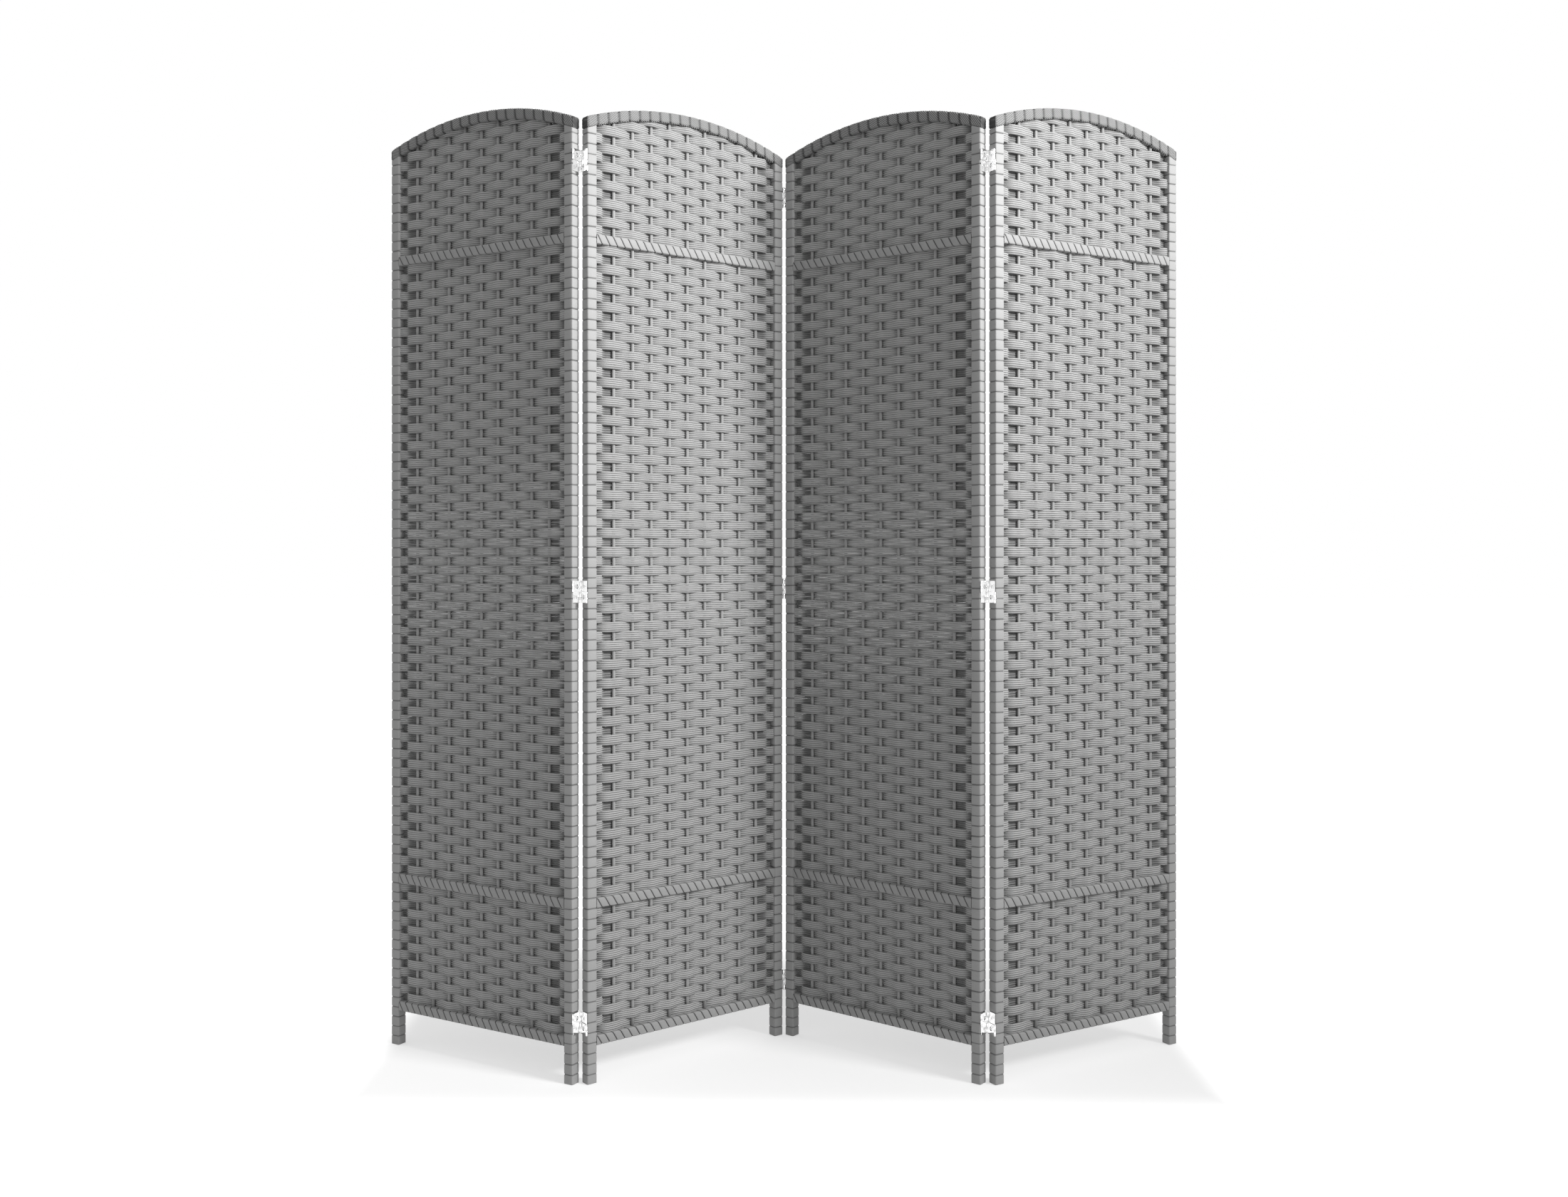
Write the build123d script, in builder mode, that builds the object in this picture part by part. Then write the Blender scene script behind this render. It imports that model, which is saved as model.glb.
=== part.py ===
from build123d import *
import os
from math import cos, radians, sqrt

# A four-panel folding screen that stands in a zigzag, seen here as it is used.
# Lengths are in mm and angles in degrees. X runs along the screen, Y to the back, Z up.
# The origin is on the floor, at the middle of the standing screen's outline.

# How the screen stands: each panel's angle to the line along the screen
inner_fold = 38.5
outer_fold = 30.5

# The panel's frame of bars
panel_width = 450.0
crown_height = 1790.0
arch_rise = 41.0
bar_depth = 20.0
stile_width = 20.0
arch_thickness = 20.0
rail_height = 18.0
bar_chamfer = 1.5
bottom_rail_underside = 67.0
lower_rail_middle = 325.0
upper_rail_below_crown = 260.0
tenon_height = 10.0
tenon_depth = 10.0
tenon_length = 12.0
tenon_clearance = 0.1
tenon_end_gap = 1.0

# The woven filling: flat wefts over and under upright sticks
stick_count = 9
stick_thickness = 6.5
weft_height = 17.1
weft_thickness = 3.2
weft_relief = 1.6
arch_clearance = 0.3

# The two-way hinges, three at each joint
lowest_hinge = 109.0
top_hinge_below_shoulder = 79.0
hinge_height = 40.0
joint_gap = 5.0
leaf_thickness = 1.2
link_thickness = 1.0
knuckle_radius = 2.0
knuckle_wall = 0.9
axis_outset = 0.5
knuckle_gap = 0.3
link_bore_clearance = 0.15
leaf_relief = 0.5
screw_spacing = 19.0
screw_hole = 4.0
screw_access = 8.0

# The hinge parts repeat so often that their round eyes and bores are drawn with few sides
eye_sides = 8
bore_sides = 6

# What follows from the driving dimensions
half_width = panel_width / 2
half_depth = bar_depth / 2
clear_half = half_width - stile_width
shoulder_height = crown_height - arch_rise
arch_radius = (half_width**2 + arch_rise**2) / (2 * arch_rise)
arch_centre = crown_height - arch_radius
soffit_radius = arch_radius - arch_thickness
upper_rail_middle = crown_height - upper_rail_below_crown
top_hinge = shoulder_height - top_hinge_below_shoulder
hinge_levels = (lowest_hinge, (lowest_hinge + top_hinge) / 2, top_hinge)
rail_middles = {
    "bottom_rail": bottom_rail_underside + rail_height / 2,
    "lower_rail": lower_rail_middle,
    "upper_rail": upper_rail_middle,
}
bays = {
    "weave_bottom": (bottom_rail_underside + rail_height, lower_rail_middle - rail_height / 2),
    "weave_middle": (lower_rail_middle + rail_height / 2, upper_rail_middle - rail_height / 2),
    "weave_top": (upper_rail_middle + rail_height / 2, crown_height),
}
stick_spacing = 2 * clear_half / (stick_count + 1)
axis_reach = half_width + joint_gap / 2
axis_depth = half_depth + axis_outset
pin_radius = knuckle_radius - knuckle_wall
plate_edge = axis_depth - knuckle_radius - leaf_relief


def soffit_at(across):
    """The height of the arch's underside at a distance from the panel's middle."""
    return arch_centre + sqrt(soffit_radius**2 - across**2)


def turned(angle, across, depth):
    """A point of a panel's plan, turned by the panel's angle about the vertical."""
    return Vector(across, depth).rotate(Axis.Z, angle)


# The plan is laid out from the far joint, whose axis is on the panels' front corners
inner_from_far = turned(inner_fold, axis_reach, -axis_depth)
near_axis = -2 * inner_from_far
outer_from_near = turned(-outer_fold, axis_reach, axis_depth)
front_reach = (near_axis + turned(-outer_fold, 0, -2 * axis_depth)).Y - knuckle_radius
back_reach = turned(inner_fold, 0, 2 * axis_depth).Y + knuckle_radius
far_axis = Vector(0, -(front_reach + back_reach) / 2)
inner_middle = far_axis - inner_from_far
outer_middle = far_axis + near_axis - outer_from_near


def standing(middle, angle):
    """The plane on the floor under a panel: x along the panel, y to its back."""
    return Plane(origin=middle, x_dir=turned(angle, 1, 0), z_dir=(0, 0, 1))


panels = {
    1: standing(outer_middle, -outer_fold),
    2: standing(inner_middle, inner_fold),
    3: standing(Vector(-inner_middle.X, inner_middle.Y), -inner_fold),
    4: standing(Vector(-outer_middle.X, outer_middle.Y), outer_fold),
}


def facing(panel, across=0.0, depth=0.0, height=0.0):
    """A plane that faces the panel's front: x along the panel, y up."""
    floor = panels[panel]
    origin = floor.from_local_coords(Vector(across, depth, height))
    return Plane(origin=origin, x_dir=floor.x_dir, z_dir=-floor.y_dir)


def level(panel, height, side=0):
    """A level plane at a height. With a side it stands on that end of the panel, x outward."""
    floor = panels[panel]
    origin = floor.from_local_coords(Vector(side * half_width, 0, height))
    return Plane(origin=origin, x_dir=floor.x_dir * (side or 1), z_dir=(0, 0, 1))


def end_on(panel, side, height, outward=0.0):
    """A plane that faces out of the panel's end: y up."""
    floor = panels[panel]
    origin = floor.from_local_coords(Vector(side * (half_width + outward), 0, height))
    return Plane(origin=origin, x_dir=floor.y_dir * side, z_dir=floor.x_dir * side)


def finish(piece, name, panel):
    piece.part.label = f"{name}_{panel}"
    export_step(piece.part, f"parts/{piece.part.label}.step")
    print(piece.part.label, len(piece.part.solids()), "solids", round(piece.part.volume), "mm3")


def stile(panel, side):
    """An upright: square, with its edges eased, its top cut to the slope of the arch's end."""
    inner, outer = side * clear_half, side * half_width
    with BuildPart() as upright:
        with BuildSketch(facing(panel, depth=half_depth)):
            with BuildLine():
                Polyline(
                    (inner, 0),
                    (outer, 0),
                    (outer, soffit_at(half_width)),
                    (inner, soffit_at(clear_half)),
                    close=True,
                )
            make_face()
        extrude(amount=bar_depth)
        chamfer(upright.edges().filter_by(Axis.Z), bar_chamfer)
        for middle in rail_middles.values():
            with BuildSketch(facing(panel, depth=tenon_depth / 2 + tenon_clearance)):
                with Locations((inner + side * (tenon_length + tenon_end_gap) / 2, middle)):
                    Rectangle(tenon_length + tenon_end_gap, tenon_height + 2 * tenon_clearance)
            extrude(amount=tenon_depth + 2 * tenon_clearance, mode=Mode.SUBTRACT)
    return upright


def rail(panel, middle):
    """A cross bar with a tenon at each end."""
    with BuildPart() as bar:
        with BuildSketch(facing(panel, depth=half_depth, height=middle)):
            Rectangle(2 * clear_half, rail_height)
        extrude(amount=bar_depth)
        with BuildSketch(facing(panel, depth=tenon_depth / 2, height=middle)):
            Rectangle(2 * (clear_half + tenon_length), tenon_height)
        extrude(amount=tenon_depth)
    return bar


def arch(panel):
    """The bowed top bar. It runs over both stiles and ends flush with their sides."""
    with BuildPart() as bow:
        with BuildSketch(facing(panel, depth=half_depth)):
            with BuildLine():
                shoulder = (half_width, shoulder_height)
                ThreePointArc((-half_width, shoulder_height), (0, crown_height), shoulder)
                Line(shoulder, (half_width, soffit_at(half_width)))
                Line((half_width, soffit_at(half_width)), (clear_half, soffit_at(clear_half)))
                ThreePointArc(
                    (clear_half, soffit_at(clear_half)),
                    (0, soffit_at(0)),
                    (-clear_half, soffit_at(clear_half)),
                )
                Line((-clear_half, soffit_at(clear_half)), (-half_width, soffit_at(half_width)))
                Line((-half_width, soffit_at(half_width)), (-half_width, shoulder_height))
            make_face()
        extrude(amount=bar_depth)
    return bow


def under_arch(panel):
    """What the arch closes in: a disc that ends just short of its underside."""
    with BuildSketch(facing(panel, depth=half_depth)) as opening:
        with Locations((0, arch_centre)):
            Circle(soffit_radius - arch_clearance)
    extrude(opening.sketch, amount=bar_depth, mode=Mode.INTERSECT)


def sticks(panel):
    """The upright sticks, in three lengths that stand between the rails, the last under the arch."""
    with BuildPart() as rods:
        for low, high in reversed(bays.values()):
            with BuildSketch(level(panel, low)):
                with GridLocations(stick_spacing, 0, stick_count, 1):
                    Rectangle(stick_thickness, stick_thickness)
            extrude(amount=high - low)
            if high == crown_height:
                under_arch(panel)
    return rods


def weft_layer(panel, low, high, way, first_weft):
    """One face of the weave between two heights, ridged where every second weft stands out."""
    inner = stick_thickness / 2
    crest = inner + weft_thickness
    trough = crest - weft_relief
    count = max(1, round((high - low) / weft_height))
    pitch = (high - low) / count
    outline = [(way * inner, low), (way * (trough if first_weft % 2 else crest), low)]
    for number in range(1, count + 1):
        out = trough if (first_weft + number) % 2 else crest
        outline.append((way * out, low + number * pitch))
    outline.append((way * inner, high))
    floor = panels[panel]
    start = floor.from_local_coords(Vector(-clear_half, 0, 0))
    with BuildSketch(Plane(origin=start, x_dir=floor.y_dir, z_dir=floor.x_dir)) as section:
        with BuildLine():
            Polyline(*outline, close=True)
        make_face()
    extrude(section.sketch, amount=2 * clear_half)


def weave(panel, low, high):
    """The wefts in front of the sticks and the wefts behind them, between two rails."""
    with BuildPart() as cloth:
        weft_layer(panel, low, high, way=-1, first_weft=0)
        weft_layer(panel, low, high, way=1, first_weft=1)
        if high == crown_height:
            under_arch(panel)
    return cloth


def eye(panel, side, corner, low, high, arm, bore):
    """One rolled eye at the end of a leaf or a link, with the arm that joins it to the plate.

    The arm is given by its middle and thickness outward from the stile, and by its far end."""
    arm_middle, arm_thickness, arm_end = arm
    with BuildSketch(level(panel, low, side)) as outline:
        with Locations((arm_middle, corner * (plate_edge + arm_end) / 2)):
            Rectangle(arm_thickness, arm_end - plate_edge)
        with Locations((joint_gap / 2, corner * axis_depth)):
            RegularPolygon(knuckle_radius, eye_sides, rotation=180 / eye_sides)
            RegularPolygon(bore, bore_sides, mode=Mode.SUBTRACT)
    extrude(outline.sketch, amount=high - low)


def leaf(panel, side, middle):
    """A hinge leaf on a stile's side: its upper eye at one corner, its lower eye at the other."""
    half = hinge_height / 2
    with BuildSketch(end_on(panel, side, middle)) as plate:
        Rectangle(2 * plate_edge, hinge_height)
        with Locations((0, screw_spacing / 2), (0, -screw_spacing / 2)):
            RegularPolygon(screw_hole / 2, bore_sides, mode=Mode.SUBTRACT)
    extrude(plate.sketch, amount=leaf_thickness)
    arm = (leaf_thickness / 2, leaf_thickness, axis_depth)
    inner = half / 2 + knuckle_gap / 2
    eye(panel, side, -1, middle + inner, middle + half, arm, pin_radius)
    eye(panel, side, 1, middle - half, middle - inner, arm, pin_radius)


def link(panel, side, middle, half):
    """The upper or lower link of a hinge, upright between the leaves, an eye on either pin."""
    bore = pin_radius / cos(radians(180 / bore_sides)) + link_bore_clearance
    near_middle = middle + half * knuckle_gap / 2
    eye_end = middle + half * (hinge_height / 4 - knuckle_gap / 2)
    plate_end = middle + half * hinge_height / 2
    outward = (joint_gap - link_thickness) / 2
    with BuildSketch(end_on(panel, side, 0, outward)) as plate:
        with Locations((0, (near_middle + plate_end) / 2)):
            Rectangle(2 * plate_edge, abs(plate_end - near_middle))
        with Locations((0, middle + half * screw_spacing / 2)):
            RegularPolygon(screw_access / 2, eye_sides, mode=Mode.SUBTRACT)
    extrude(plate.sketch, amount=link_thickness)
    arm = (joint_gap / 2, link_thickness, axis_depth - (bore + knuckle_radius) / 2)
    low, high = sorted((near_middle, eye_end))
    for corner in (-1, 1):
        eye(panel, side, corner, low, high, arm, bore)


def pin(panel, side, middle, half):
    """A hinge pin, half as tall as the hinge: through the leaf's eye and the link's."""
    depth = -half * axis_depth
    low = middle + (knuckle_gap / 2 if half > 0 else -hinge_height / 2)
    with BuildSketch(level(panel, low, side)) as section:
        with Locations((joint_gap / 2, depth)):
            RegularPolygon(pin_radius, bore_sides)
    extrude(section.sketch, amount=hinge_height / 2 - knuckle_gap / 2)


# Which ends of each panel carry a hinge, and which half's link rides with that end.
# A near joint turns on the back corners, the far joint on the front corners.
hinged_ends = {
    1: {1: 1},
    2: {-1: -1, 1: -1},
    3: {-1: 1, 1: 1},
    4: {-1: -1},
}

os.makedirs("parts", exist_ok=True)

for panel in panels:
    finish(stile(panel, -1), "stile_left", panel)
    finish(stile(panel, 1), "stile_right", panel)
    for name, middle in rail_middles.items():
        finish(rail(panel, middle), name, panel)
    finish(arch(panel), "arch_rail", panel)
    finish(sticks(panel), "sticks", panel)
    for name, (low, high) in bays.items():
        finish(weave(panel, low, high), name, panel)

    with BuildPart() as leaves:
        for side in hinged_ends[panel]:
            for middle in hinge_levels:
                leaf(panel, side, middle)
    finish(leaves, "hinge_leaves", panel)

    with BuildPart() as links:
        for side, half in hinged_ends[panel].items():
            for middle in hinge_levels:
                link(panel, side, middle, half)
    finish(links, "hinge_links", panel)

    with BuildPart() as pins:
        for side in hinged_ends[panel]:
            for middle in hinge_levels:
                pin(panel, side, middle, 1)
                pin(panel, side, middle, -1)
    finish(pins, "hinge_pins", panel)
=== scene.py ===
# %% [markdown]
# # A woven folding screen
# Four arched panels stand in a zigzag. Each one is a frame of square bars wound with a flat
# paper strip, filled with ribbons of five paper cords that pass over and under upright sticks.
# Two-way hinges of bright steel join the panels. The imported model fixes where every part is,
# so the lesson starts by loading it. Nothing in it is moved: each piece made here takes the
# place of one of its solids.

# %% Load the fixed frame
import bmesh
import bpy
import numpy as np
from math import cos, pi, radians, sin, tau
from mathutils import Matrix, Vector


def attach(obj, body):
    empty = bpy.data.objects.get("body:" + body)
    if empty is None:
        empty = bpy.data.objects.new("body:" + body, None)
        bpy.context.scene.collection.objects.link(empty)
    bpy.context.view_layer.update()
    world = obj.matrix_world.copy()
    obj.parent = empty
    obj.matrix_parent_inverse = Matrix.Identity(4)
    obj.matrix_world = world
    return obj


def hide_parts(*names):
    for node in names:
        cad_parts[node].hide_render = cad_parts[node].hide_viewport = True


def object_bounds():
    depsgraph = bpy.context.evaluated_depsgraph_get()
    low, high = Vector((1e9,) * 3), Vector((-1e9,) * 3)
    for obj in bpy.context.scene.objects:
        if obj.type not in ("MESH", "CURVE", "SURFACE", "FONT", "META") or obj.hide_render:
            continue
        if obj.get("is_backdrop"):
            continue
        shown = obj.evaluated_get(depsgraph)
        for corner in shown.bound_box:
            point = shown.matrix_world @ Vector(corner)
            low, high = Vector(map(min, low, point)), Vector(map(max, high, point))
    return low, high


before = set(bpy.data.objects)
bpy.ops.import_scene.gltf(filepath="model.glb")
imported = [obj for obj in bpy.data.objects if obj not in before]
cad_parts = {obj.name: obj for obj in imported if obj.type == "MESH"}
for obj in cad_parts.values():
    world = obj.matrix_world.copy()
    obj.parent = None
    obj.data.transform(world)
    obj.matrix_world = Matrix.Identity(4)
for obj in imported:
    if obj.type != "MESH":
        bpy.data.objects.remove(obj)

cad_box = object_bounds()
mm = 0.001

# %% [markdown]
# ## Where the panels stand
# The four panels are alike, so each mesh is made once, flat in front of the reader: x runs
# along the panel, y to its back and z up, in millimetres. Four objects then share that mesh,
# each turned to its own panel's place. The plan is laid out as the screen folds, from the
# hinge axis in the middle outwards. At the end, each panel's bottom rail is turned back into
# the panel's own frame, and how far its middle lies off centre is printed.

# %% The plan of the zigzag
inner_fold, outer_fold = radians(38.5), radians(30.5)
half_width, half_depth, clear_half = 225.0, 10.0, 205.0
axis_reach, axis_depth, eye_radius = 227.5, 10.5, 2.0


def turned(angle, across, depth):
    return Matrix.Rotation(angle, 2) @ Vector((across, depth))


inner_from_far = turned(inner_fold, axis_reach, -axis_depth)
near_axis = -2 * inner_from_far
outer_from_near = turned(-outer_fold, axis_reach, axis_depth)
front_reach = (near_axis + turned(-outer_fold, 0, -2 * axis_depth)).y - eye_radius
back_reach = turned(inner_fold, 0, 2 * axis_depth).y + eye_radius
far_axis = Vector((0, -(front_reach + back_reach) / 2))
inner = far_axis - inner_from_far
outer = far_axis + near_axis - outer_from_near


def standing(x, y, angle):
    return Matrix.Translation((x * mm, y * mm, 0)) @ Matrix.Rotation(angle, 4, "Z")


places = {
    1: standing(outer.x, outer.y, -outer_fold),
    2: standing(inner.x, inner.y, inner_fold),
    3: standing(-inner.x, inner.y, -inner_fold),
    4: standing(-outer.x, outer.y, outer_fold),
}
for panel, place in places.items():
    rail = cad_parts[f"bottom_rail_{panel}"].data
    rail_points = [place.inverted() @ v.co for v in rail.vertices]
    off = sum(rail_points, Vector()) / len(rail_points)
    print("panel", panel, "rail off centre by", round(off.x / mm, 3), round(off.y / mm, 3), "mm")

# %% [markdown]
# ## From rows of points to a piece
# Everything here is grown from grids of points, so one helper turns points and quads into a
# mesh, with a flat map that says how far along a strip or cord each point lies, and a number,
# from how deep in a seam or between cords it is, that says how much painted shade it gets.
# Materials read the map to lay fibres and twist in the right direction, and the number to paint
# shade into the seams and hollows. A second helper sets a finished mesh up on one panel: it
# rides on that panel's body and stands for its solids.

# %% Helpers for meshes and pieces
def quad_mesh(name, points, quads, lay=None, painted_shade=None):
    """A smooth mesh from points in mm, quads of their numbers, a map point for each corner and,
    for each point, how much painted shade it gets, from 0 to 1."""
    mesh = bpy.data.meshes.new(name)
    mesh.vertices.add(len(points))
    mesh.vertices.foreach_set("co", (np.asarray(points) * mm).astype(np.float32).ravel())
    mesh.loops.add(quads.size)
    mesh.loops.foreach_set("vertex_index", quads.astype(np.int32).ravel())
    mesh.polygons.add(len(quads))
    mesh.polygons.foreach_set("loop_start", np.arange(0, quads.size, 4, dtype=np.int32))
    mesh.update(calc_edges=True)
    if lay is not None:
        mesh.uv_layers.new(name="lay").data.foreach_set("uv", lay.astype(np.float32).ravel())
    if painted_shade is not None:
        deep = mesh.attributes.new("painted_shade", "FLOAT", "POINT")
        deep.data.foreach_set("value", np.clip(painted_shade, 0, 1).astype(np.float32).ravel())
    mesh.polygons.foreach_set("use_smooth", np.ones(len(quads), bool))
    mesh.validate()
    return mesh


def grid_quads(rows, columns):
    """The quads of a grid of points stored row by row."""
    row, column = np.meshgrid(np.arange(rows - 1), np.arange(columns - 1), indexing="ij")
    corner = (row * columns + column).ravel()
    return np.stack([corner, corner + 1, corner + columns + 1, corner + columns], axis=1)


def set_up(name, mesh, material, slot, panel, *nodes):
    """One panel's copy of a piece, in its place, on its body, standing for its solids."""
    if not mesh.materials:
        mesh.materials.append(material)
    piece = bpy.data.objects.new(f"{name}_{panel}", mesh)
    bpy.context.scene.collection.objects.link(piece)
    piece.matrix_world = places[panel]
    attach(piece, f"panel_{panel}")
    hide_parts(*[f"{node}_{panel}" for node in nodes])
    return piece


# %% [markdown]
# ## Finishes
# The whole screen is one grey. What sets its parts apart is their surface: the wefts are
# twisted cords, the bars carry a flat crinkled strip and the sticks are wound smooth. Each
# finish is therefore the same kind of material, with a fibre pattern that follows the piece's
# map, a slow drift of tone, and darker valleys between fibres and, in cords, between the turns
# of the twist: fibre tone and painted shade in one. The pattern drives both colour and bump.
# A shade number on each mesh adds painted shade in seams, between cords and in the weave's hollows.

# %% Paper finishes
def node_of(tree, kind, **settings):
    node = tree.nodes.new(kind)
    for key, value in settings.items():
        if hasattr(node, key):
            setattr(node, key, value)
        else:
            node.inputs[key.replace("_", " ").title()].default_value = value
    return node


def shader_of(name, roughness, specular=0.3, metallic=0.0):
    material = bpy.data.materials.new(name)
    material.use_nodes = True
    shader = material.node_tree.nodes["Principled BSDF"]
    shader.inputs["Roughness"].default_value = roughness
    shader.inputs["Specular IOR Level"].default_value = specular
    shader.inputs["Metallic"].default_value = metallic
    return material, material.node_tree, shader


def math_of(tree, operation, first, second=None):
    """A math node fed by sockets or plain numbers; returns its result."""
    node = tree.nodes.new("ShaderNodeMath")
    node.operation = operation
    for socket, value in zip(node.inputs, (first, second)):
        if isinstance(value, (int, float)):
            socket.default_value = value
        elif value is not None:
            tree.links.new(value, socket)
    return node.outputs[0]


def noise_on(tree, coordinates, stretch, detail=3.0):
    """Noise with its own scale along each of the three coordinates, in cells per metre."""
    mapping = node_of(tree, "ShaderNodeMapping")
    mapping.inputs["Scale"].default_value = stretch
    tree.links.new(coordinates, mapping.inputs["Vector"])
    noise = node_of(tree, "ShaderNodeTexNoise", detail=detail)
    noise.inputs["Scale"].default_value = 1.0
    noise.inputs["Detail"].default_value = detail
    tree.links.new(mapping.outputs["Vector"], noise.inputs["Vector"])
    return noise.outputs["Fac"]


def paper(name, tone, fibre_stretch, twist_pitch=None, contrast=0.16, depth=0.0002,
          roughness=0.62, dusk=0.6):
    """Grey paper: fibres along the map, a slow drift of tone, in cords a twist, and painted shade where the
    mesh's shade number asks for it.
    """
    material, tree, shader = shader_of(name, roughness)
    lay = node_of(tree, "ShaderNodeUVMap", uv_map="lay").outputs["UV"]
    solid = node_of(tree, "ShaderNodeTexCoord").outputs["Object"]
    fibres = noise_on(tree, lay, (*fibre_stretch, 1))
    drift = noise_on(tree, solid, (9, 9, 30), detail=2.0)
    relief = fibres
    if twist_pitch:
        split = node_of(tree, "ShaderNodeSeparateXYZ")
        tree.links.new(lay, split.inputs[0])
        turns = math_of(tree, "ADD", math_of(tree, "DIVIDE", split.outputs[0], twist_pitch * mm),
                        split.outputs[1])
        wave = math_of(tree, "SINE", math_of(tree, "MULTIPLY", turns, tau))
        twist = math_of(tree, "ABSOLUTE", wave)
        relief = math_of(tree, "ADD", math_of(tree, "MULTIPLY", twist, 0.5),
                         math_of(tree, "MULTIPLY", fibres, 0.7))
    # The colour follows the relief, so the valleys of fibres and of the twist come out darker: fibre tone
    # with painted shade.
    shade = math_of(tree, "ADD", math_of(tree, "MULTIPLY", relief, 0.6),
                    math_of(tree, "MULTIPLY", drift, 0.4))
    ramp = node_of(tree, "ShaderNodeValToRGB")
    ramp.color_ramp.elements[0].position, ramp.color_ramp.elements[1].position = 0.25, 0.75
    for element, share in zip(ramp.color_ramp.elements, (1 - contrast, 1 + contrast)):
        level = tone * share
        element.color = (level, level, level * 0.995, 1)
    tree.links.new(shade, ramp.inputs["Fac"])
    # Painted shade: the mesh's shade number, times dusk, mixes the colour towards near black.
    painted_shade = node_of(tree, "ShaderNodeAttribute", attribute_name="painted_shade").outputs["Fac"]
    darker = node_of(tree, "ShaderNodeMix", data_type="RGBA", blend_type="MIX")
    tree.links.new(math_of(tree, "MULTIPLY", painted_shade, dusk), darker.inputs[0])
    tree.links.new(ramp.outputs["Color"], darker.inputs[6])
    darker.inputs[7].default_value = (tone * 0.06, tone * 0.06, tone * 0.06, 1)
    tree.links.new(darker.outputs[2], shader.inputs["Base Color"])
    bump = node_of(tree, "ShaderNodeBump")
    bump.inputs["Distance"].default_value = depth
    bump.inputs["Strength"].default_value = 1.0
    tree.links.new(relief, bump.inputs["Height"])
    tree.links.new(bump.outputs["Normal"], shader.inputs["Normal"])
    return material


# dusk sets how dark the painted shade in seams and hollows gets on each finish.
weft_paper = paper("twisted_cord_grey", 0.46, (120, 9), twist_pitch=7.0, contrast=0.07, depth=0.00005)
strip_paper = paper("flat_strip_grey", 0.37, (900, 350), contrast=0.09, depth=0.00012, dusk=0.75)
slant_paper = paper("slanted_strip_grey", 0.34, (900, 350), contrast=0.09, depth=0.00012, dusk=0.95)
arch_paper = paper("arch_cord_grey", 0.34, (700, 700), contrast=0.1, depth=0.00012, dusk=0.95)
stick_paper = paper("stick_strip_grey", 0.34, (300, 1200), contrast=0.08, depth=0.0001)
print("paper finishes:", [m.name for m in bpy.data.materials if m.name.endswith("grey")])

# %% [markdown]
# ## Bright steel
# The hinges are polished and plated. Polished metal shows what stands around it, here a white
# studio, so it looks almost white itself. Faint brushing keeps it from being a perfect mirror.

# %% Steel finishes
def steel(name, tone, roughness, brushing):
    material, tree, shader = shader_of(name, roughness, specular=0.5, metallic=1.0)
    solid = node_of(tree, "ShaderNodeTexCoord").outputs["Object"]
    brushed = noise_on(tree, solid, brushing)
    ramp = node_of(tree, "ShaderNodeValToRGB")
    for element, level in zip(ramp.color_ramp.elements, (tone * 0.93, tone)):
        element.color = (level, level, level, 1)
    tree.links.new(brushed, ramp.inputs["Fac"])
    tree.links.new(ramp.outputs["Color"], shader.inputs["Base Color"])
    bump = node_of(tree, "ShaderNodeBump")
    bump.inputs["Distance"].default_value = 0.00002
    tree.links.new(brushed, bump.inputs["Height"])
    tree.links.new(bump.outputs["Normal"], shader.inputs["Normal"])
    return material


hinge_steel = steel("plated_hinge_steel", 0.93, 0.14, (900, 900, 120))
pin_steel = steel("pin_steel", 0.8, 0.22, (1500, 1500, 1500))

# %% [markdown]
# ## A skin wound round a bar
# Every bar of the frame is wound from end to end with a strip, so what shows is not wood but a
# row of turns, rounded where one meets the next. One helper makes such a skin for all of them.
# It carries a rounded section along the bar, sinks it a little at every seam, more at the
# corners than on the faces, and slides the points along as they go round, so that the seams
# slant. After one round the slide has to be a whole number of turns, or the skin wouldn't close.
# A real strip overlaps itself, but only its rounded edges show, and this keeps one clean shell.

# %% Helpers for wound bars
def rounded_section(half_a, half_b, radius, corner_steps=4, face_steps=1):
    """Points and inward directions round a bar, from the top of its front face downwards.

    The first coordinate is up or outward, the second to the back."""
    points, inward = [], []
    corners = [(-1, -1, 270), (-1, 1, 180), (1, 1, 90), (1, -1, 0)]
    for up, back, start in corners:
        for step in range(corner_steps + 1):
            angle = radians(start - 90 * step / corner_steps)
            out = (-abs(cos(angle)) if up < 0 else abs(cos(angle)),
                   -abs(sin(angle)) if back < 0 else abs(sin(angle)))
            points.append((up * (half_a - radius) + radius * out[0],
                           back * (half_b - radius) + radius * out[1]))
            inward.append((-out[0], -out[1]))
    ring, turn_in = [], []
    for number, (point, normal) in enumerate(zip(points, inward)):
        ring.append(point)
        turn_in.append(normal)
        if number % (corner_steps + 1) == corner_steps:
            ahead = points[(number + 1) % len(points)]
            for step in range(1, face_steps):
                share = step / face_steps
                ring.append(tuple(a + (b - a) * share for a, b in zip(point, ahead)))
                turn_in.append(normal)
    return np.array(ring), np.array(turn_in)


def slide_round(section, on_faces, whole):
    """How far the skin has slid along the bar at each point of the section, and once more at
    the end of the round: a set slope on the front and back, and the rest on top and bottom."""
    closed = np.vstack([section, section[:1]])
    steps = np.abs(np.diff(closed, axis=0))
    on_ends = (whole - on_faces * steps[:, 0].sum()) / steps[:, 1].sum()
    return np.concatenate([[0], np.cumsum(on_faces * steps[:, 0] + on_ends * steps[:, 1])])


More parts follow.
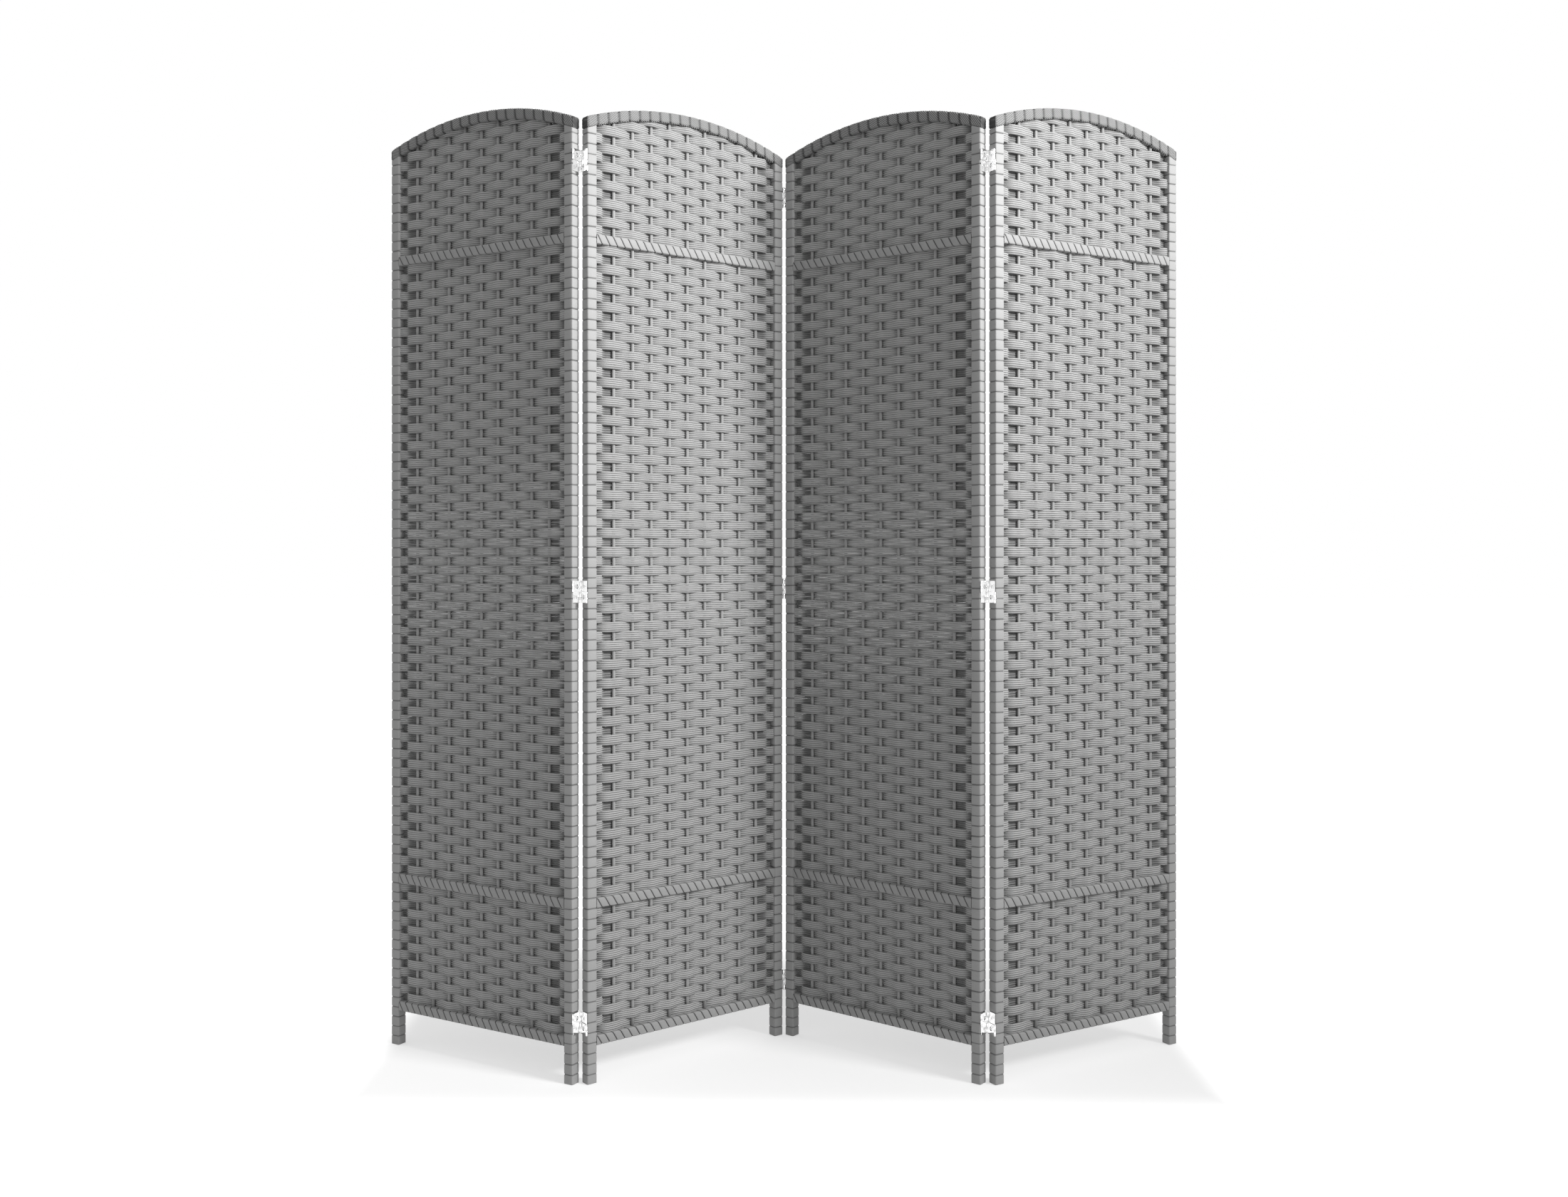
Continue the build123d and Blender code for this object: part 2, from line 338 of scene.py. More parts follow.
def skin(name, section, inward, stations, sink, painted_shade, slide, place):
    """The wound skin as a bmesh. sink is a grid of depths, the grid after it says how much
    painted shade each point gets, and place puts (section, along) into the panel's frame."""
    closed, turn_in = (np.vstack([a, a[:1]]) for a in (section, inward))
    along = stations[:, None] + slide[None, :]
    across = closed[None] + sink[..., None] * turn_in[None]
    points = place(across, along).reshape(-1, 3)
    quads = grid_quads(len(stations), len(closed))
    girth = np.concatenate([[0], np.cumsum(np.linalg.norm(np.diff(closed, axis=0), axis=1))])
    lay = np.stack(np.broadcast_arrays(girth[None, :], stations[:, None]), axis=-1).reshape(-1, 2) * mm
    mesh = quad_mesh(name, points, quads, lay[quads.ravel()], painted_shade)
    shell = bmesh.new()
    shell.from_mesh(mesh)
    bpy.data.meshes.remove(mesh)
    bmesh.ops.remove_doubles(shell, verts=shell.verts, dist=2e-6)
    return shell


def trim(shell, point, outward):
    """Cuts a shell off at a plane and closes it there with a flat face."""
    cut = bmesh.ops.bisect_plane(
        shell, geom=[*shell.verts, *shell.edges, *shell.faces], dist=1e-7,
        plane_co=Vector(point) * mm, plane_no=Vector(outward), clear_outer=True)
    rim = [e for e in cut["geom_cut"] if isinstance(e, bmesh.types.BMEdge)]
    for edge in rim:
        edge.smooth = False
    for face in bmesh.ops.holes_fill(shell, edges=rim)["faces"]:
        face.smooth = False


def finished(shell, name):
    bmesh.ops.recalc_face_normals(shell, faces=shell.faces)
    mesh = bpy.data.meshes.new(name)
    shell.to_mesh(mesh)
    shell.free()
    print(name, len(mesh.polygons), "faces")
    return mesh


def turn_profile(pitch, roll):
    """Where along one turn the skin is measured, and how deep it has sunk there, from 1 at the
    seam to 0 on the flat."""
    near = np.array([0, 0.14, 0.34, 0.65, 1.0]) * roll
    deep = np.array([1.0, 0.66, 0.32, 0.09, 0.0])
    return (np.concatenate([near, pitch - near[:0:-1]]),
            np.concatenate([deep, deep[:0:-1]]))


# %% [markdown]
# ## The arch's curve
# The top bar is a bow. Its outline rises 41 mm over the panel's width, which fixes its radius.
# The stiles, the sticks and the top wefts all end against its underside, so its numbers come
# before them.

# %% The bow
crown, arch_rise, arch_thickness = 1790.0, 41.0, 20.0
arch_radius = (half_width**2 + arch_rise**2) / (2 * arch_rise)
arch_centre = crown - arch_radius
soffit_radius = arch_radius - arch_thickness


def soffit_at(across):
    return arch_centre + np.sqrt(soffit_radius**2 - np.square(across))


print("arch radius", round(arch_radius, 1), "mm, underside at the stiles", round(soffit_at(225.0), 1))

# %% [markdown]
# ## The stiles
# A stile is wound level, one flat turn above the other, 18.7 mm apart. Hand winding is never
# quite even, so each seam shifts by a fraction of a millimetre and leans a little, from a
# seeded generator that gives the same stiles on every run. The foot is cut flat and the top
# follows the slope of the arch's end.

# %% Wind the stiles
turn_height, first_seam, seam_roll = 18.7, 17.0, 2.8
stile_rounding = 2.6


def wound_stile(side, seed):
    chance = np.random.default_rng(seed)
    section, inward = rounded_section(half_depth, half_depth, stile_rounding)
    offsets, depths = turn_profile(turn_height, seam_roll)
    turns = int(1790 / turn_height) + 2
    stations, sunk, lean = [], [], []
    for turn in range(turns):
        shift = chance.uniform(-0.4, 0.4)
        stations.append(first_seam + (turn - 1) * turn_height + offsets + shift * (depths > 0.02))
        sunk.append(depths * chance.uniform(0.8, 1.15))
        lean.append(np.full(len(offsets), chance.uniform(-0.012, 0.03)))
    stations, sunk, lean = map(np.concatenate, (stations, sunk, lean))
    corner = np.abs(inward).min(axis=1) > 0.2
    corner = np.append(corner, corner[0])
    sink = sunk[:, None] * np.where(corner, 1.5, 1.1)[None, :]
    # Painted shade in each seam, as strong as the seam is sunk.
    painted_shade = np.broadcast_to(sunk[:, None] * 1.1, sink.shape)
    middle = side * (clear_half + half_width) / 2

    def place(across, along):
        tilt = lean[:, None] * across[..., 0]
        return np.stack([middle + across[..., 0], across[..., 1], along + tilt], axis=-1)

    shell = skin("stile", section, inward, stations, sink, painted_shade, np.zeros(len(section) + 1), place)
    trim(shell, (0, 0, 0), (0, 0, -1))
    run, drop = half_width - clear_half, soffit_at(clear_half) - soffit_at(half_width)
    top_edge = (side * half_width, 0, soffit_at(half_width))
    trim(shell, top_edge, Vector((side * drop, 0, run)).normalized())
    return finished(shell, f"wound_stile_{'left' if side < 0 else 'right'}")


stile_meshes = {"left": wound_stile(-1, 11), "right": wound_stile(1, 12)}
for panel in places:
    for hand, mesh in stile_meshes.items():
        set_up(f"wound_stile_{hand}", mesh, strip_paper, "frame", panel, f"stile_{hand}")

# %% [markdown]
# ## The rails
# Three straight bars cross each panel. They are wound at a slant: the seams lean about
# 30 degrees on the faces. The slide makes one round two whole turns long, as a strip that is
# wound on with a partner beside it.

# %% Wind the rails
rail_height, rail_rounding = 18.0, 2.4
slant_pitch, slant_roll, slant_on_faces, turns_in_round = 16.4, 2.6, 0.59, 2
seam_at_corner, seam_on_face = 1.4, 1.2
rail_middles = {"bottom_rail": 76.0, "lower_rail": 325.0, "upper_rail": 1530.0}


def wound_rail():
    section, inward = rounded_section(rail_height / 2, half_depth, rail_rounding)
    offsets, depths = turn_profile(slant_pitch, slant_roll)
    reach = int((2 * clear_half + 3 * slant_pitch) / slant_pitch) + 1
    start = -clear_half - 2.4 * slant_pitch
    stations = np.concatenate([start + turn * slant_pitch + offsets for turn in range(reach)])
    corner = np.abs(inward).min(axis=1) > 0.2
    deep = np.tile(depths, reach)[:, None]
    sink = deep * np.where(np.append(corner, corner[0]), seam_at_corner, seam_on_face)[None, :]
    # Painted shade in each seam, as strong as the seam is sunk.
    painted_shade = np.broadcast_to(deep * 1.5, sink.shape)
    slide = slide_round(section, slant_on_faces, turns_in_round * slant_pitch)

    def place(across, along):
        return np.stack([along, across[..., 1], across[..., 0]], axis=-1)

    shell = skin("rail", section, inward, stations, sink, painted_shade, slide, place)
    trim(shell, (-clear_half, 0, 0), (-1, 0, 0))
    trim(shell, (clear_half, 0, 0), (1, 0, 0))
    return finished(shell, "wound_rail")


rail_mesh = wound_rail()
for node, middle in rail_middles.items():
    mesh = rail_mesh.copy()
    mesh.name = f"wound_{node}"
    mesh.transform(Matrix.Translation((0, 0, middle * mm)))
    for panel in places:
        set_up(f"wound_{node}", mesh, slant_paper, "rail", panel, node)

# %% [markdown]
# ## The arch
# The bow isn't wound with the flat strip but with the same five-cord ribbon as the wefts, so
# its turns are hatched by cords that run down to the right while the turns' own edges stay
# upright all along the bow. The grid is slid along the cords, which lets narrow ridges come
# out clean with few points. The edges of the turns are sunk into it, each where its own
# upright line crosses the bow, and the corners dip between turns, so the outline is scalloped.

# %% Wind the arch
turn_length, cords_in_turn, cords_round_bow = 22.5, 4.5, 15
cord_slope, edge_slope = 1.36, 0.1
arch_rounding, cord_groove, edge_groove, scallop = 2.6, 0.9, 0.9, 1.3
cord_step = turn_length / cords_in_turn


def wound_arch():
    section, inward = rounded_section(arch_thickness / 2, half_depth, arch_rounding,
                                      corner_steps=3, face_steps=7)
    middle_radius = arch_radius - arch_thickness / 2
    cord_slide = slide_round(section, cord_slope, cords_round_bow * cord_step)
    spacing = cord_step / 6
    stations = np.arange(-250 - cord_slide[-1], 251, spacing)
    along = stations[:, None] + cord_slide[None, :]
    closed = np.vstack([section, section[:1]])
    across_panel = (middle_radius + closed[None, :, 0]) * np.sin(along / middle_radius)
    in_turn = (across_panel + edge_slope * closed[None, :, 0]) % turn_length
    to_edge = np.minimum(in_turn, turn_length - in_turn)
    turn = np.round((across_panel - in_turn) / turn_length)
    ridge = np.abs(np.sin(pi * (stations[:, None] / cord_step + 0.37 * turn)))
    corner = np.append(np.abs(inward).min(axis=1), np.abs(inward[0]).min()) > 0.2
    crown_of_turn = np.abs(np.sin(pi * in_turn / turn_length))
    at_edge = np.exp(-((to_edge / 1.2) ** 2)) * np.where(corner, 1.3, 1.0)
    sink = cord_groove * (1 - ridge) ** 1.2 + edge_groove * at_edge + scallop * (1 - crown_of_turn) * corner

    def place(across, along):
        angle, radius = along / middle_radius, middle_radius + across[..., 0]
        return np.stack([radius * np.sin(angle), across[..., 1], arch_centre + radius * np.cos(angle)],
                        axis=-1)

    # Painted shade in the grooves between cords and at the edges of the turns.
    painted_shade = (1 - ridge) ** 1.1 + np.exp(-((to_edge / 1.7) ** 2))
    shell = skin("arch", section, inward, stations, sink, painted_shade, cord_slide, place)
    trim(shell, (-half_width, 0, 0), (-1, 0, 0))
    trim(shell, (half_width, 0, 0), (1, 0, 0))
    return finished(shell, "wound_arch")


arch_mesh = wound_arch()
for panel in places:
    set_up("wound_arch", arch_mesh, arch_paper, "arch", panel, "arch_rail")

# %% [markdown]
# ## The sticks
# Nine upright sticks carry the weave. They run from the bottom rail up to the arch, and each
# is a thin rod, a little flatter than round, wound smooth. They are never quite straight, so
# they bend by a fraction of a millimetre on the way up. A round stick catches light from the
# side, so it stands out pale where its panel is in shade.

# %% Stand the sticks
stick_count, stick_spacing, stick_width, stick_depth = 9, 41.0, 6.5, 5.6


def upright_sticks(sides=14, rings=31):
    chance = np.random.default_rng(5)
    points, quads, lay = [], [], []
    around = np.arange(sides + 1) * tau / sides
    for stick in range(stick_count):
        across = (stick - (stick_count - 1) / 2) * stick_spacing
        heights = np.linspace(rail_middles["bottom_rail"], soffit_at(across) + 1.0, rings)
        bend = 0.25 * np.sin(heights / chance.uniform(120, 260) + chance.uniform(0, tau))
        ring = np.stack([np.broadcast_to(stick_width / 2 * np.cos(around), (rings, sides + 1)),
                         np.broadcast_to(stick_depth / 2 * np.sin(around), (rings, sides + 1))], axis=-1)
        grid = np.stack([across + bend[:, None] + ring[..., 0], ring[..., 1],
                         np.broadcast_to(heights[:, None], (rings, sides + 1))], axis=-1)
        quads.append(grid_quads(rings, sides + 1)[:, ::-1] + sum(len(p) for p in points))
        points.append(grid.reshape(-1, 3))
        lay.append(np.stack([np.broadcast_to(around * stick_width / 2, (rings, sides + 1)),
                             grid[..., 2]], axis=-1).reshape(-1, 2) * mm)
    points, quads, lay = map(np.concatenate, (points, quads, lay))
    mesh = quad_mesh("sticks", points, quads, lay[quads.ravel()])
    shell = bmesh.new()
    shell.from_mesh(mesh)
    bmesh.ops.remove_doubles(shell, verts=shell.verts, dist=2e-6)
    bmesh.ops.holes_fill(shell, edges=[e for e in shell.edges if e.is_boundary])
    bpy.data.meshes.remove(mesh)
    return finished(shell, "upright_sticks")


stick_mesh = upright_sticks()
for panel in places:
    set_up("upright_sticks", stick_mesh, stick_paper, "stick", panel, "sticks")

# %% [markdown]
# ## The weave
# A weft is a flat ribbon of five twisted cords. It passes in front of one stick and behind the
# next, and the weft above does the opposite. Drawing it as a picture on a flat sheet would lose
# the dark openings beside the sticks, so every cord of every weft is its own tube. A cosine
# takes the ribbon from the front of one stick to the back of the next. Where it dives behind, it
# spreads a little and tucks in behind the wefts above and below, so the weave stays closed to
# the eye and the hollows beside the sticks fall into shade, deepened there with painted shade.
# Beside a stile there is no stick to bend it, so it runs on straight and dives at the last
# moment, into a hollow with stronger painted shade. Under the arch each cord ends where it
# meets the bow.
#
# The lowest cord of a ribbon is painted darkest, a painted shade for lying in the shade of the
# others, and rows differ a little from each other, again from seeded numbers.

# %% Weave one bay
weft_thickness, weft_height = 3.2, 17.1
bays = {
    "weave_bottom": (85.0, 316.0),
    "weave_middle": (334.0, 1521.0),
    "weave_top": (1539.0, crown),
}
flat_height, crest_gain, tucked_gain = 17.5, 1.3, 3.0
cord_count, cord_sides, ring_spacing = 5, 6, 5.1
# Painted shade on each cord of a ribbon, from the lowest up.
edge_shade = (0.4, 0.06, 0.0, 0.0, 0.06)
last_stick = (stick_count - 1) / 2 * stick_spacing
shortest_half = 25
ribbon_swing = stick_depth / 2 + weft_thickness / 2 - 0.1


def weft(middle, pitch, over, chance):
    """The cords of one weft: each a grid of points, ring by ring along the cord, with how much
    painted shade each point gets. Cords that the arch leaves no room for are left out."""
    lift, lean, swing = chance.uniform(-0.2, 0.2), chance.uniform(-0.5, 0.5), chance.uniform(0.95, 1.0)
    roll = chance.uniform(0, tau)
    around = np.arange(cord_sides + 1) * tau / cord_sides
    for cord in range(cord_count):
        step = (cord - (cord_count - 1) / 2) / cord_count
        waves, phases = chance.uniform((9, 7), (16, 12)), chance.uniform(0, tau, 2)
        level = middle + step * pitch - arch_centre
        room = (soffit_radius + 1.0) ** 2 - max(level, 0) ** 2
        if room < shortest_half**2:
            continue
        reach = min(clear_half + 0.8, room**0.5)
        along = np.linspace(-reach, reach, int(round(2 * reach / ring_spacing)) + 1)
        front = np.cos(pi * along / stick_spacing + pi * over)
        beside = np.clip((np.abs(along) - last_stick) / (clear_half - last_stick), 0, 1)
        late_dive = (-1) ** over * np.cos(pi * np.clip(2.4 * beside - 1.0, 0, 1))
        front = np.where(beside > 0, late_dive, front)
        front = np.sign(front) * np.abs(front) ** np.where(beside > 0, 1.0, 2.3)
        behind = np.clip(-front, 0, 1)
        height = (pitch / weft_height) * (flat_height + crest_gain * np.abs(front) ** 0.4
                                          + tucked_gain * behind)
        high = middle + lift + lean * 0.4 * np.sin(along / 90 + roll) + height * step
        high = high + 0.08 * np.sin(along / waves[0] + phases[0])
        depth = -ribbon_swing * swing * front + 0.1 * np.sin(along / waves[1] + phases[1])
        tall = height / (2 * cord_count) * 1.12
        grid = np.empty((len(along), cord_sides + 1, 3))
        grid[..., 0] = along[:, None]
        grid[..., 1] = depth[:, None] - weft_thickness / 2 * 0.97 * np.cos(around)[None, :]
        grid[..., 2] = high[:, None] + tall[:, None] * np.sin(around)[None, :]
        # Painted shade: the creases where cords meet, the side of a cord that faces into the hollow beside
        # a stick, stronger beside a stile, and the lowest cord.
        ahead = np.clip(front, 0, 1) ** 1.5
        sheltered = np.where(np.cos(around)[None, :] > 0, behind[:, None], ahead[:, None])
        sheltered = sheltered * (1 + 2.2 * (beside > 0))[:, None]
        yield grid, 0.9 * np.abs(np.sin(around))[None, :] ** 2.5 + 0.3 * sheltered + edge_shade[cord]


def woven(name, low, pitch, rows, first):
    """The wefts of some rows of a bay as one mesh. first says which way the first one goes."""
    chance = np.random.default_rng(100 + first + int(low))
    points, quads, lay, painted_shades, count = [], [], [], [], 0
    for row in rows:
        for grid, painted_shade in weft(low + (row + 0.5) * pitch, pitch, (first + row) % 2, chance):
            rings, columns, _ = grid.shape
            ends = [np.array([[0, 1, 2, 3], [0, 3, 4, 5]]),
                    np.array([[3, 2, 1, 0], [5, 4, 3, 0]]) + (rings - 1) * columns]
            quads.append(np.concatenate([grid_quads(rings, columns), *ends]) + count)
            length = np.broadcast_to(grid[:, :1, 0], (rings, columns)) + chance.uniform(0, 50)
            turn = np.broadcast_to(np.arange(columns) / (columns - 1), (rings, columns))
            points.append(grid.reshape(-1, 3))
            lay.append(np.stack([length * mm, turn], axis=-1).reshape(-1, 2))
            painted_shades.append(painted_shade.ravel())
            count += rings * columns
    points, quads, lay, painted_shades = map(np.concatenate, (points, quads, lay, painted_shades))
    mesh = quad_mesh(name, points, quads, lay[quads.ravel()], painted_shades)
    print(name, len(rows), "wefts,", len(mesh.polygons), "faces")
    return mesh


# %% [markdown]
# The wefts fill three bays between the rails. The middle bay is long, so it is made as two
# pieces, which keeps each mesh at a size that other programs open with ease.

# %% Weave the three bays
first = 0
weave_meshes = {}
for node, (low, high) in bays.items():
    count = round((high - low) / weft_height)
    pitch = (high - low) / count
    if node == "weave_middle":
        half = count // 2
        for name, rows in (("wefts_middle_low", range(half)), ("wefts_middle_high", range(half, count))):
            weave_meshes[name] = (node, woven(name, low, pitch, rows, first))
    else:
        name = node.replace("weave", "wefts")
        weave_meshes[name] = (node, woven(name, low, pitch, range(count), first))
    first += count
for name, (node, mesh) in weave_meshes.items():
    for panel in places:
        set_up(name, mesh, weft_paper, "weave", panel, node)

# %% [markdown]
# ## The hinges
# A screen that folds both ways needs a hinge with two axes. Each stile carries a leaf with an
# eye at its front corner on one half and at its back corner on the other. Two links stand
# between the leaves and join them. The parts are cut from sheet, so a helper draws a flat
# outline with its holes, thickens it and eases its edges; eyes and pins are turned from
# a profile. They are modelled in the stile end's own frame: x out of the stile, y to the back on
# a right end, z up from the hinge's middle.

# %% Helpers for hinge parts
def add_sheet(shell, loops, x0, x1):
    """Sheet metal in a plane of the end: loops of (y, z), the first the outline, the rest holes."""
    edges = []
    for loop in loops:
        ring = [shell.verts.new(Vector((x0, y, z)) * mm) for y, z in loop]
        edges += [shell.edges.new((a, b)) for a, b in zip(ring, ring[1:] + ring[:1])]
    faces = [f for f in bmesh.ops.triangle_fill(shell, use_beauty=True, edges=edges)["geom"]
             if isinstance(f, bmesh.types.BMFace)]
    grown = bmesh.ops.extrude_face_region(shell, geom=faces)["geom"]
    moved = [v for v in grown if isinstance(v, bmesh.types.BMVert)]
    bmesh.ops.translate(shell, verts=moved, vec=Vector((x1 - x0, 0, 0)) * mm)


def circle(y, z, radius, sides=20):
    return [(y + radius * cos(tau * i / sides), z + radius * sin(tau * i / sides)) for i in range(sides)]


def eased_box(y0, y1, z0, z1, ease):
    corners = [(y1, z1, 0), (y0, z1, 90), (y0, z0, 180), (y1, z0, 270)]
    loop = []
    for y, z, start in corners:
        middle = (y - ease * (1 if y == y1 else -1), z - ease * (1 if z == z1 else -1))
        loop += [(middle[0] + ease * cos(radians(start + a)), middle[1] + ease * sin(radians(start + a)))
                 for a in (0, 30, 60, 90)]
    return loop


def add_turned(shell, x, y, profile, sides=24, closed=True):
    """A shape turned about the upright at (x, y) from a profile of (radius, z)."""
    rings = []
    for radius, z in profile:
        rings.append([shell.verts.new(Vector((x + radius * cos(tau * i / sides),
                                              y + radius * sin(tau * i / sides), z)) * mm)
                      for i in range(sides)])
    pairs = list(zip(rings, rings[1:] + rings[:1] if closed else rings[1:]))
    for a, b in pairs:
        for i in range(sides):
            face = shell.faces.new((a[i], a[(i + 1) % sides], b[(i + 1) % sides], b[i]))
            face.smooth = True
    if not closed:
        shell.faces.new(rings[0][::-1])
        shell.faces.new(rings[-1])


def eye_profile(bore, outer, low, high, ease=0.25):
    return [(bore, low), (outer - ease, low), (outer, low + ease), (outer, high - ease),
            (outer - ease, high), (bore, high)]


# %% [markdown]
# The leaf is screwed to the stile's side. The link stands free between the two leaves, with
# larger holes so that a screwdriver can reach the screws behind it.

# %% The leaf, the link and the pin
hinge_levels = (109.0, 889.5, 1670.0)
joint_gap, leaf_thickness, link_thickness = 5.0, 1.2, 1.0
hinge_half, screw_at, plate_edge, pin_radius = 20.0, 9.5, 8.0, 1.1
link_bore = 1.42
axis_out = joint_gap / 2


def add_leaf(shell):
    holes = [circle(0, z, 2.0) for z in (-screw_at, screw_at)]
    add_sheet(shell, [eased_box(-plate_edge, plate_edge, -hinge_half, hinge_half, 0.8), *holes],
              0.0, leaf_thickness)
    for corner, low, high in ((-1, 10.15, hinge_half), (1, -hinge_half, -10.15)):
        arm = sorted((corner * (plate_edge - 0.6), corner * axis_depth))
        add_sheet(shell, [eased_box(*arm, low, high, 0.2)], 0.02, leaf_thickness)
        add_turned(shell, axis_out, corner * axis_depth, eye_profile(pin_radius, eye_radius, low, high))


def add_link(shell, half):
    low, high = sorted((half * 0.15, half * hinge_half))
    outward = axis_out - link_thickness / 2
    add_sheet(shell, [eased_box(-plate_edge, plate_edge, low, high, 0.8),
                         circle(0, half * screw_at, 4.0, 28)], outward, outward + link_thickness)
    low, high = sorted((half * 0.15, half * 9.85))
    for corner in (-1, 1):
        arm = sorted((corner * (plate_edge - 0.6), corner * (axis_depth - 1.6)))
        add_sheet(shell, [eased_box(*arm, low, high, 0.2)],
                  outward + 0.02, outward + link_thickness - 0.02)
        add_turned(shell, axis_out, corner * axis_depth, eye_profile(link_bore, eye_radius, low, high))


def add_pin(shell, half):
    low, high = sorted((half * 0.15, half * hinge_half))
    radius = pin_radius - 0.005
    profile = [(radius * 0.55, low), (radius, low + 0.3), (radius, high - 0.3), (radius * 0.55, high)]
    add_turned(shell, axis_out, -half * axis_depth, profile, closed=False)


def add_screw(shell, level):
    """A countersunk screw with a cross recess, its head just proud of the leaf."""
    proud, recess, arm, width = leaf_thickness + 0.35, 0.9, 1.9, 0.5
    quarter = [(arm, width), (width, width), (width, arm)]
    cross = []
    for turn in range(4):
        cross += quarter
        quarter = [(-z, y) for y, z in quarter]

    def ring(x, loop):
        return [shell.verts.new(Vector((x, y, level + z)) * mm) for y, z in loop]
    rim, low_rim = ring(proud, circle(0, 0, 3.1)), ring(leaf_thickness - 0.3, circle(0, 0, 3.6))
    foot = ring(0.1, circle(0, 0, 1.9))
    slot, floor = ring(proud, cross), ring(proud - recess, cross)
    for a, b in ((rim, low_rim), (low_rim, foot), (slot, floor)):
        for i in range(len(a)):
            shell.faces.new((a[i], a[(i + 1) % len(a)], b[(i + 1) % len(a)], b[i]))
    shell.faces.new(floor)
    shell.faces.new(foot)
    edges = [shell.edges.get((loop[i], loop[(i + 1) % len(loop)])) for loop in (rim, slot)
             for i in range(len(loop))]
    bmesh.ops.triangle_fill(shell, use_beauty=True, edges=edges)


# %% [markdown]
# Each panel has the hinges of its own ends: its leaves, pins and screws always, and one of the
# two links of each hinge, the one that turns with it about the joint's live axis. The near
# joints turn on the back corners and the far joint on the front ones, as the photograph's
# zigzag needs.

# %% Fit the hinges
hinged_ends = {1: {1: 1}, 2: {-1: -1, 1: -1}, 3: {-1: 1, 1: 1}, 4: {-1: -1}}


def hinge_parts(name, panel, fill):
    """One mesh with a kind of hinge part at each hinge of a panel's ends."""
    whole = bmesh.new()
    for side, half in hinged_ends[panel].items():
        for level in hinge_levels:
            part = bmesh.new()
            fill(part, half)
            bmesh.ops.recalc_face_normals(part, faces=part.faces)
            stand = Matrix.Translation((side * half_width * mm, 0, level * mm))
            if side < 0:
                stand = stand @ Matrix.Rotation(pi, 4, "Z")
            part.transform(stand)
            loose = bpy.data.meshes.new("part")
            part.to_mesh(loose)
            part.free()
            whole.from_mesh(loose)
            bpy.data.meshes.remove(loose)
    mesh = bpy.data.meshes.new(f"{name}_{panel}")
    whole.to_mesh(mesh)
    whole.free()
    return mesh


def both_pins(shell, half):
    add_pin(shell, 1)
    add_pin(shell, -1)


def both_screws(shell, half):
    add_screw(shell, screw_at)
    add_screw(shell, -screw_at)


for panel in places:
    leaves = hinge_parts("leaves", panel, lambda shell, half: add_leaf(shell))
    set_up("plated_leaves", leaves, hinge_steel, "hinge_steel", panel, "hinge_leaves")
    links = hinge_parts("links", panel, add_link)
    set_up("plated_links", links, hinge_steel, "hinge_steel", panel, "hinge_links")
    pins = hinge_parts("pins", panel, both_pins)
    set_up("steel_pins", pins, pin_steel, "pin_steel", panel, "hinge_pins")
    screws = hinge_parts("screws", panel, both_screws)
    set_up("leaf_screws", screws, pin_steel, "pin_steel", panel)
    print("panel", panel, "has hinges at", len(hinged_ends[panel]), "ends")

# %% [markdown]
# ## The white studio
# The photograph shows the screen on pure white, with only soft shadows on the floor. The world
# is white to the camera and to reflections, and dimmer as light. The floor is plain white
# paint with a glow that only the camera and reflections see, so the lit floor is pure white
# while the shadows stay pale grey. In front of the screen and away from it the glow grows, a
# painted light that washes out the lamp's shadows, so the floor there is blank white.

# %% World and floor
def seen_directly(tree):
    """1 for rays from the camera, and for what metal and glass show; 0 for other light."""
    path = node_of(tree, "ShaderNodeLightPath").outputs
    seen = math_of(tree, "MAXIMUM", path["Is Camera Ray"], path["Is Glossy Ray"])
    return math_of(tree, "MAXIMUM", seen, path["Is Transmission Ray"])


world = bpy.data.worlds.new("white_studio")
bpy.context.scene.world = world
world.use_nodes = True
tree = world.node_tree
tree.nodes.clear()
ambient = node_of(tree, "ShaderNodeBackground")
ambient.inputs["Strength"].default_value = 0.52
backdrop = node_of(tree, "ShaderNodeBackground")
backdrop.inputs["Strength"].default_value = 1.0
for background in (ambient, backdrop):
    background.inputs["Color"].default_value = (1, 1, 1, 1)
mixed = node_of(tree, "ShaderNodeMixShader")
tree.links.new(seen_directly(tree), mixed.inputs["Fac"])
tree.links.new(ambient.outputs[0], mixed.inputs[1])
tree.links.new(backdrop.outputs[0], mixed.inputs[2])
tree.links.new(mixed.outputs[0], node_of(tree, "ShaderNodeOutputWorld").inputs["Surface"])

floor_half, below_feet = 30000.0, 0.5
floor_points = np.array([(x, y, 0) for x, y in ((-1, -1), (1, -1), (1, 1), (-1, 1))]) * floor_half
floor_mesh = quad_mesh("floor", floor_points, np.array([[0, 1, 2, 3]]))
floor_mesh.transform(Matrix.Translation((0, 0, -below_feet * mm)))
floor = bpy.data.objects.new("floor", floor_mesh)
bpy.context.scene.collection.objects.link(floor)
floor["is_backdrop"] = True
floor_paint = bpy.data.materials.new("floor_white")
floor_paint.use_nodes = True
tree = floor_paint.node_tree
tree.nodes.clear()
paint = node_of(tree, "ShaderNodeBsdfDiffuse")
paint.inputs["Color"].default_value = (0.7, 0.7, 0.7, 1)
glow = node_of(tree, "ShaderNodeEmission")
glow.inputs["Strength"].default_value = 1.0
spot = node_of(tree, "ShaderNodeSeparateXYZ")
tree.links.new(node_of(tree, "ShaderNodeTexCoord").outputs["Object"], spot.inputs[0])


def beyond(distance, near, far):
    """0 up to a distance, 1 from a larger one."""
    fade = node_of(tree, "ShaderNodeMapRange", interpolation_type="SMOOTHSTEP")
    fade.inputs["From Min"].default_value, fade.inputs["From Max"].default_value = near, far
    tree.links.new(distance, fade.inputs["Value"])
    return fade.outputs["Result"]
